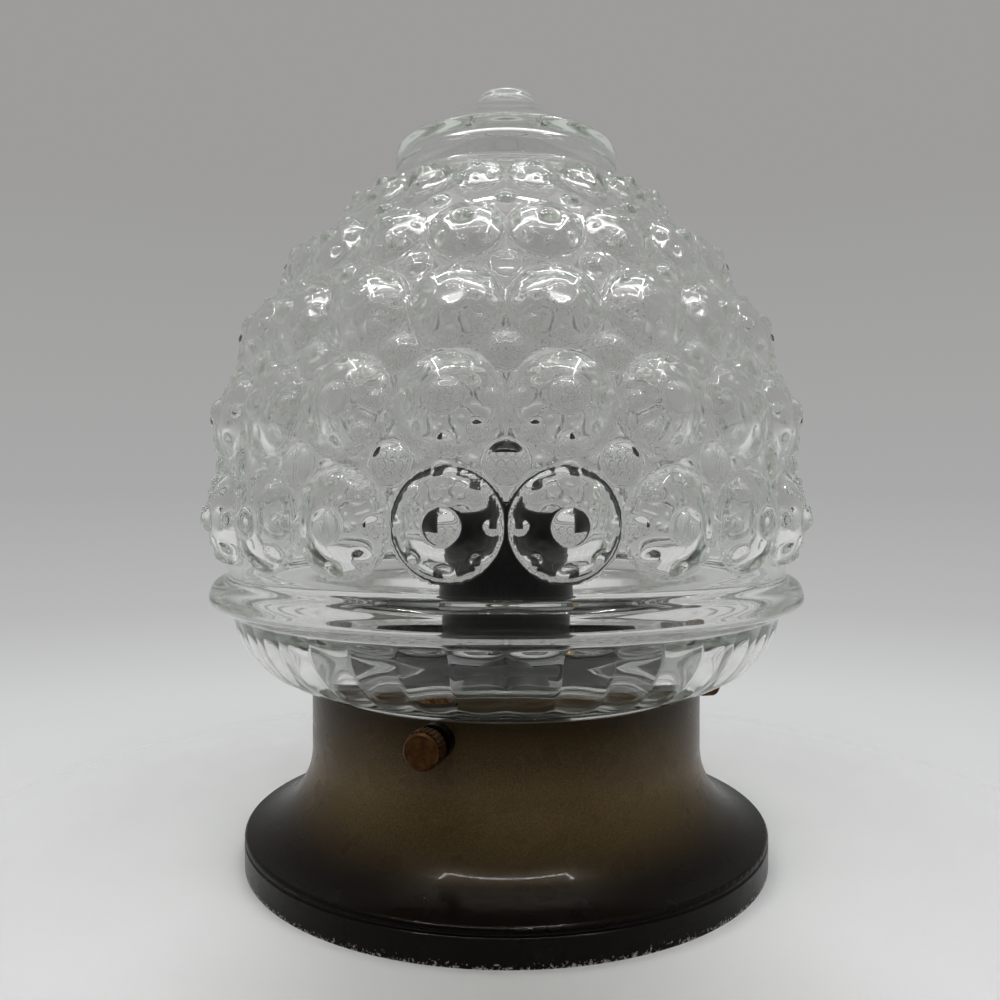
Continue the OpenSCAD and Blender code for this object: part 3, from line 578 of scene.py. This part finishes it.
# %% Chips along the lacquer's lower edge
CHIP_MM, CHIP_LOW_Z, CHIP_HIGH_Z = 0.8, 0.3 * MM, 3.0 * MM
CHIP_MORE, CHIP_LESS, CHIP_LIMIT = 0.11, -0.17, 0.64
low = add_node(tree, "ShaderNodeMapRange", {
    "Value": height.outputs["Z"], "From Min": CHIP_LOW_Z, "From Max": CHIP_HIGH_Z,
    "To Min": CHIP_MORE, "To Max": CHIP_LESS})
chip_noise = add_node(tree, "ShaderNodeTexNoise", {
    "Vector": place.outputs["Object"], "Scale": 1 / (CHIP_MM * MM), "Detail": 4.0, "Roughness": 0.7})
worn = add_node(tree, "ShaderNodeMath", {
    0: chip_noise.outputs["Fac"], 1: low.outputs["Result"]}, operation="ADD")
chipped = add_node(tree, "ShaderNodeMath", {
    0: worn.outputs["Value"], 1: CHIP_LIMIT}, operation="GREATER_THAN")
colour = add_node(tree, "ShaderNodeMix", {
    "Factor": chipped.outputs["Value"], "A": lacquer_with_painted_shadow.outputs["Result"], "B": linear("#b5aea2")},
    data_type="RGBA")
print("paint chips:", CHIP_MM, "mm")

# %% Lacquer under its clear coat
FLAKE_METAL = 0.12
metal = add_node(tree, "ShaderNodeMath", {
    0: FLAKE_METAL, 1: chipped.outputs["Value"]}, operation="SUBTRACT", use_clamp=True)
rough = add_node(tree, "ShaderNodeMapRange", {
    "Value": clouds.outputs["Fac"], "To Min": 0.24, "To Max": 0.32})
grain = add_node(tree, "ShaderNodeBump", {
    "Height": flakes.outputs["Fac"], "Strength": 0.15, "Distance": 0.05 * MM})
paint = add_node(tree, "ShaderNodeBsdfPrincipled", {
    "Base Color": colour.outputs["Result"], "Metallic": metal.outputs["Value"],
    "Roughness": rough.outputs["Result"], "Normal": grain.outputs["Normal"],
    "Specular IOR Level": 0.05, "Coat Weight": 0.14, "Coat Roughness": 0.07})
tree.links.new(paint.outputs["BSDF"], out.inputs["Surface"])


def dress(finish, *names):
    """Gives these CAD nodes one finish."""
    for name in names:
        nodes[name].data.materials.clear()
        nodes[name].data.materials.append(finish)
    print(finish.name, "on:", ", ".join(names))


dress(lacquer, "canopy_shell")

# %% [markdown]
# The lampholder is pressed from black phenolic resin with wood flour in it. It is never quite black and
# never quite even: the flour shows as a faint mottle, and the surface is satin with a very slight ripple.

# %% Black phenolic moulding
FLOUR_MM, RIPPLE_MM = 0.5, 2.5
phenolic, tree, out = start_finish("black_phenolic_moulding")
place = add_node(tree, "ShaderNodeTexCoord")
flour = add_node(tree, "ShaderNodeTexNoise", {
    "Vector": place.outputs["Object"], "Scale": 1 / (FLOUR_MM * MM), "Detail": 3.0})
mottle = add_node(tree, "ShaderNodeValToRGB", {"Fac": flour.outputs["Fac"]}, {
    0.40: "#0d0d0e", 0.75: "#1d1c1b"})
ripple = add_node(tree, "ShaderNodeTexNoise", {
    "Vector": place.outputs["Object"], "Scale": 1 / (RIPPLE_MM * MM), "Detail": 2.0})
satin = add_node(tree, "ShaderNodeMapRange", {
    "Value": ripple.outputs["Fac"], "To Min": 0.24, "To Max": 0.42})
skin = add_node(tree, "ShaderNodeBump", {
    "Height": ripple.outputs["Fac"], "Strength": 0.2, "Distance": 0.08 * MM})
resin = add_node(tree, "ShaderNodeBsdfPrincipled", {
    "Base Color": mottle.outputs["Color"], "Roughness": satin.outputs["Result"],
    "Normal": skin.outputs["Normal"], "Specular IOR Level": 0.2})
tree.links.new(resin.outputs["BSDF"], out.inputs["Surface"])
dress(phenolic, "lampholder_cap", "lampholder_shell")

# %% [markdown]
# The small metal parts are zinc-plated steel, brass, blackened brass and bronzed steel. They differ in
# colour and gloss, but age in the same way: clouds of tarnish make the plating darker and duller. One
# function makes such a finish, and each metal gives it its own colours and the size of its clouds.

# %% Plated and tarnished metals
TARNISH_FROM, TARNISH_TO = 0.35, 0.62


def tarnished_metal(name, tarnish, bright, cloud_mm, smooth, dull, grain_mm):
    """A metal that clouds over from a bright, smooth plating to a dull tarnish, with a fine grain."""
    finish, tree, out = start_finish(name)
    place = add_node(tree, "ShaderNodeTexCoord")
    clouds = add_node(tree, "ShaderNodeTexNoise", {
        "Vector": place.outputs["Object"], "Scale": 1 / (cloud_mm * MM), "Detail": 6.0, "Roughness": 0.65})
    colour = add_node(tree, "ShaderNodeValToRGB", {"Fac": clouds.outputs["Fac"]}, {
        TARNISH_FROM: tarnish, TARNISH_TO: bright})
    rough = add_node(tree, "ShaderNodeMapRange", {
        "Value": clouds.outputs["Fac"], "From Min": TARNISH_FROM, "From Max": TARNISH_TO,
        "To Min": dull, "To Max": smooth})
    grain = add_node(tree, "ShaderNodeTexNoise", {
        "Vector": place.outputs["Object"], "Scale": 1 / (grain_mm * MM), "Detail": 2.0})
    relief = add_node(tree, "ShaderNodeBump", {
        "Height": grain.outputs["Fac"], "Strength": 0.25, "Distance": 0.04 * MM})
    surface = add_node(tree, "ShaderNodeBsdfPrincipled", {
        "Base Color": colour.outputs["Color"], "Metallic": 1.0, "Roughness": rough.outputs["Result"],
        "Normal": relief.outputs["Normal"]})
    tree.links.new(surface.outputs["BSDF"], out.inputs["Surface"])
    return finish


zinc = tarnished_metal("zinc_plated_steel", "#8b8d8e", "#c3c6c8", 5.0, 0.26, 0.46, 0.5)
brass = tarnished_metal("rolled_brass", "#7d6130", "#d3b163", 4.0, 0.22, 0.42, 0.4)
bronzed = tarnished_metal("bronzed_steel", "#2a2119", "#5a4836", 2.0, 0.32, 0.50, 0.3)
blackened = tarnished_metal("blackened_brass", "#0e0b09", "#2e251d", 2.0, 0.30, 0.48, 0.3)
dress(zinc, "mounting_strap", "lampholder_bracket", "bracket_rivets", "tube_nut", "tooth_washer",
      "terminal_screws", "block_screw", "earth_tag")
dress(brass, "contact_screws", "centre_contact", "terminal_sleeves", "earth_screw")
dress(blackened, "thumbscrew_bushes")

# %% [markdown]
# The knobs were turned from brass and copper plated, long ago. The lathe left fine rings on their faces,
# and the plating has darkened in soft clouds. The rings have to run round each knob's own axis, so the
# finish is made once per knob, turned to the direction that the knob's box shows. A wave texture repeats
# every 2 pi / 20 at scale 1, so that length over the real spacing of the rings gives its scale.

# %% Aged copper plating of the knobs
LATHE_MM, PATINA_MM = 0.55, 1.6
WAVE_LENGTH = 2 * math.pi / 20
for i in (1, 2, 3):
    name = f"thumbscrew_knob_{i}"
    low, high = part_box(name)
    middle = (Vector(low) + Vector(high)) / 2
    copper, tree, out = start_finish(f"aged_copper_plate_{i}")
    place = add_node(tree, "ShaderNodeTexCoord")
    on_axis = add_node(tree, "ShaderNodeMapping", {
        "Vector": place.outputs["Object"], "Location": (0, 0, -middle.z),
        "Rotation": (0, 0, -math.atan2(middle.y, middle.x))})
    rings = add_node(tree, "ShaderNodeTexWave", {
        "Vector": on_axis.outputs["Vector"], "Scale": WAVE_LENGTH / (LATHE_MM * MM), "Distortion": 1.5,
        "Detail": 2.0}, wave_type="RINGS", rings_direction="X")
    patina = add_node(tree, "ShaderNodeTexNoise", {
        "Vector": on_axis.outputs["Vector"], "Scale": 1 / (PATINA_MM * MM),
        "Detail": 5.0, "Roughness": 0.6})
    aged = add_node(tree, "ShaderNodeValToRGB", {"Fac": patina.outputs["Fac"]}, {
        0.32: "#422b18", 0.68: "#6a492a"})
    rough = add_node(tree, "ShaderNodeMapRange", {
        "Value": patina.outputs["Fac"], "To Min": 0.52, "To Max": 0.34})
    turned = add_node(tree, "ShaderNodeBump", {
        "Height": rings.outputs["Fac"], "Strength": 0.35, "Distance": 0.05 * MM})
    plate = add_node(tree, "ShaderNodeBsdfPrincipled", {
        "Base Color": aged.outputs["Color"], "Metallic": 1.0, "Roughness": rough.outputs["Result"],
        "Normal": turned.outputs["Normal"]})
    tree.links.new(plate.outputs["BSDF"], out.inputs["Surface"])
    dress(copper, name)

# %% [markdown]
# Inside the holder sits a disc of glazed steatite, a white ceramic that stands heat. The glaze is smooth
# and glassy, warm white, with a few dark specks from the kiln.

# %% Glazed steatite
SPECK_MM, SPECK_SHARE, GLAZE_MM = 1.4, 0.09, 6.0
steatite, tree, out = start_finish("glazed_steatite")
place = add_node(tree, "ShaderNodeTexCoord")
specks = add_node(tree, "ShaderNodeTexVoronoi", {
    "Vector": place.outputs["Object"], "Scale": 1 / (SPECK_MM * MM)})
speck = add_node(tree, "ShaderNodeMath", {
    0: specks.outputs["Distance"], 1: SPECK_SHARE}, operation="LESS_THAN")
glaze = add_node(tree, "ShaderNodeTexNoise", {
    "Vector": place.outputs["Object"], "Scale": 1 / (GLAZE_MM * MM), "Detail": 3.0})
tone = add_node(tree, "ShaderNodeValToRGB", {"Fac": glaze.outputs["Fac"]}, {0.0: "#ddd4c1", 1.0: "#f1ece0"})
specked = add_node(tree, "ShaderNodeMix", {
    "Factor": speck.outputs["Value"], "A": tone.outputs["Color"], "B": linear("#8a7c66")}, data_type="RGBA")
gloss = add_node(tree, "ShaderNodeMapRange", {
    "Value": glaze.outputs["Fac"], "To Min": 0.10, "To Max": 0.24})
fired = add_node(tree, "ShaderNodeBsdfPrincipled", {
    "Base Color": specked.outputs["Result"], "Roughness": gloss.outputs["Result"], "IOR": 1.52})
tree.links.new(fired.outputs["BSDF"], out.inputs["Surface"])
dress(steatite, "lampholder_insert")

# %% [markdown]
# The terminal block is moulded from natural polyamide, and the leads are sheathed in soft PVC. Both are
# plain plastics with a little unevenness: flow clouds in the moulding, and a faint drag along the sheaths.


# %% Moulded and sheathed plastics
def soft_plastic(name, shade_hex, tint_hex, cloud_mm, smooth, dull):
    """A plastic whose colour and gloss drift slightly, with a fine skin."""
    finish, tree, out = start_finish(name)
    place = add_node(tree, "ShaderNodeTexCoord")
    clouds = add_node(tree, "ShaderNodeTexNoise", {
        "Vector": place.outputs["Object"], "Scale": 1 / (cloud_mm * MM), "Detail": 3.0})
    colour = add_node(tree, "ShaderNodeValToRGB", {"Fac": clouds.outputs["Fac"]}, {
        0.3: shade_hex, 0.7: tint_hex})
    rough = add_node(tree, "ShaderNodeMapRange", {
        "Value": clouds.outputs["Fac"], "To Min": smooth, "To Max": dull})
    skin = add_node(tree, "ShaderNodeBump", {
        "Height": clouds.outputs["Fac"], "Strength": 0.15, "Distance": 0.05 * MM})
    surface = add_node(tree, "ShaderNodeBsdfPrincipled", {
        "Base Color": colour.outputs["Color"], "Roughness": rough.outputs["Result"],
        "Normal": skin.outputs["Normal"]})
    tree.links.new(surface.outputs["BSDF"], out.inputs["Surface"])
    return finish


dress(soft_plastic("natural_polyamide", "#d3d0c5", "#e4e2da", 4.0, 0.40, 0.55), "terminal_block")
dress(soft_plastic("brown_pvc_sheath", "#5a3019", "#71401f", 1.5, 0.38, 0.52), "live_lead")
dress(soft_plastic("blue_pvc_sheath", "#27458d", "#3558a6", 1.5, 0.38, 0.52), "neutral_lead")

# %% [markdown]
# The earth lead is green with a yellow stripe. A stripe along a bent lead could be unwrapped, but here it
# is enough to ask which way the surface faces: where it faces up or down it is yellow, and elsewhere green.

# %% Green and yellow sheath of the earth lead
DRAG_MM, STRIPE_FACING = 1.5, 0.6
earth, tree, out = start_finish("green_yellow_pvc_sheath")
place = add_node(tree, "ShaderNodeTexCoord")
facing = add_node(tree, "ShaderNodeSeparateXYZ", {"Vector": place.outputs["Normal"]})
upright = add_node(tree, "ShaderNodeMath", {0: facing.outputs["Z"]}, operation="ABSOLUTE")
striped = add_node(tree, "ShaderNodeMath", {
    0: upright.outputs["Value"], 1: STRIPE_FACING}, operation="GREATER_THAN")
sheath = add_node(tree, "ShaderNodeMix", {
    "Factor": striped.outputs["Value"], "A": linear("#4f8a2e"), "B": linear("#d8c43a")}, data_type="RGBA")
drag = add_node(tree, "ShaderNodeTexNoise", {
    "Vector": place.outputs["Object"], "Scale": 1 / (DRAG_MM * MM), "Detail": 3.0})
rough = add_node(tree, "ShaderNodeMapRange", {
    "Value": drag.outputs["Fac"], "To Min": 0.38, "To Max": 0.52})
pvc = add_node(tree, "ShaderNodeBsdfPrincipled", {
    "Base Color": sheath.outputs["Result"], "Roughness": rough.outputs["Result"]})
tree.links.new(pvc.outputs["BSDF"], out.inputs["Surface"])
dress(earth, "earth_lead")

# %% [markdown]
# Threads are too fine for the solids, so they are made here. A thread is a rod whose radius falls and
# rises once per pitch, and whose pattern shifts by one pitch for every turn. Rings of points with that
# radius give studs, the hollow tube and the rolled screw shell alike. As on real screws, the studs are made
# a little thinner than their nominal 4 mm, so that they run clear of the bushes.

# %% Rings of a thread
THREAD_SPIN, RINGS_PER_PITCH = 72, 10


def thread_rings(heights, radius, depth, pitch, rolled=False):
    """Rings at these heights, in millimetres. A cut thread has flat flanks, and a rolled one is a wave that
    dies out at both ends."""
    heights = np.asarray(heights, float)[:, None]
    turn = np.linspace(0, 2 * math.pi, THREAD_SPIN, endpoint=False)[None, :]
    phase = (heights / pitch - turn / (2 * math.pi)) % 1
    hollow = np.clip(1.25 * np.abs(2 * phase - 1) - 0.125, 0, 1)
    if rolled:
        from_end = np.minimum(np.abs(heights - heights[0]), np.abs(heights - heights[-1]))
        hollow = (0.5 - 0.5 * np.cos(2 * math.pi * phase)) * np.clip(from_end / pitch, 0, 1)
    r = radius - depth * hollow
    return np.stack([r * np.cos(turn), r * np.sin(turn), heights + 0 * turn], axis=-1) * MM


def plain_rings(*places):
    """Smooth rings, each given by its radius and height in millimetres."""
    return np.concatenate([thread_rings([height], radius, 0.0, 1.0) for radius, height in places])


def thread_heights(start, end, pitch):
    """Heights from start to end, several in each pitch."""
    return np.linspace(start, end, int(abs(end - start) / pitch * RINGS_PER_PITCH) + 1)


def stand_for(piece, node, body, finish):
    """Puts a new piece in the place of a CAD node, on its body, with a finish."""
    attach(piece, body)
    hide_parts(node)
    piece.data.materials.append(finish)
    print(piece.name, "for", node + ":", len(piece.data.vertices), "points")


# %% Threaded studs of the thumbscrews
STUD_R, STUD_PITCH, STUD_DEPTH, STUD_CHAMFER = 1.93, 0.7, 0.43, 0.6
STUD_TIP, STUD_END, STUD_Z = 52.5, 65.54, 44.2
stud_heights = thread_heights(STUD_TIP + 0.5, STUD_END - 0.1, STUD_PITCH)
stud_rings = np.concatenate([
    plain_rings((STUD_R - STUD_CHAMFER, STUD_TIP), (STUD_R - STUD_DEPTH, STUD_TIP + 0.2)),
    thread_rings(stud_heights, STUD_R, STUD_DEPTH, STUD_PITCH),
    plain_rings((STUD_R - STUD_DEPTH, STUD_END))])
stud_ends = [(0, 0, STUD_TIP * MM), (0, 0, STUD_END * MM)]
for i in (1, 2, 3):
    low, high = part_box(f"thumbscrew_stud_{i}")
    turn = math.atan2(low[1] + high[1], low[0] + high[0])
    east, north = math.cos(turn), math.sin(turn)
    outwards = np.array([[0, 0, -1], [-north, east, 0], [east, north, 0]])
    lift = np.array([0, 0, STUD_Z * MM])
    ends = list(stud_ends @ outwards + lift)
    stud = mesh_of_rings(f"stud_thread_{i}", stud_rings @ outwards + lift, ends)
    stand_for(stud, f"thumbscrew_stud_{i}", f"stud_{i}", bronzed)

# %% Threaded tube
TUBE_R, TUBE_BORE, TUBE_LOW, TUBE_TOP, TUBE_PITCH, TUBE_DEPTH = 5.0, 3.8, 33.0, 47.8, 1.0, 0.6
tube_heights = thread_heights(TUBE_LOW + 0.2, TUBE_TOP - 0.2, TUBE_PITCH)
tube_rings = np.concatenate([
    plain_rings((TUBE_R - TUBE_DEPTH, TUBE_LOW)),
    thread_rings(tube_heights, TUBE_R, TUBE_DEPTH, TUBE_PITCH),
    plain_rings((TUBE_R - TUBE_DEPTH, TUBE_TOP), (TUBE_BORE, TUBE_TOP), (TUBE_BORE, TUBE_LOW))])
stand_for(mesh_of_rings("tube_thread", tube_rings), "threaded_tube", "canopy", brass)

# %% Rolled screw shell
SHELL_R, SHELL_SHEET, SHELL_PITCH, SHELL_DEPTH = 14.0, 0.45, 3.63, 0.9
SHELL_LOW, SHELL_TOP, SHELL_FLOOR, SHELL_HOLE = 74.0, 95.0, 0.6, 8.7
up = thread_heights(SHELL_LOW, SHELL_TOP, SHELL_PITCH)
down = thread_heights(SHELL_TOP, SHELL_LOW + SHELL_FLOOR, SHELL_PITCH)
shell_rings = np.concatenate([
    thread_rings(up, SHELL_R, SHELL_DEPTH, SHELL_PITCH, rolled=True),
    thread_rings(down, SHELL_R - SHELL_SHEET, SHELL_DEPTH, SHELL_PITCH, rolled=True),
    plain_rings((SHELL_HOLE, SHELL_LOW + SHELL_FLOOR), (SHELL_HOLE, SHELL_LOW))])
stand_for(mesh_of_rings("rolled_shell", shell_rings), "screw_shell", "canopy", brass)

# %% [markdown]
# The dressed light has to keep the size of the CAD model, so the box of what it shows is measured.

# %% Box of the dressed light
low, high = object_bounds()
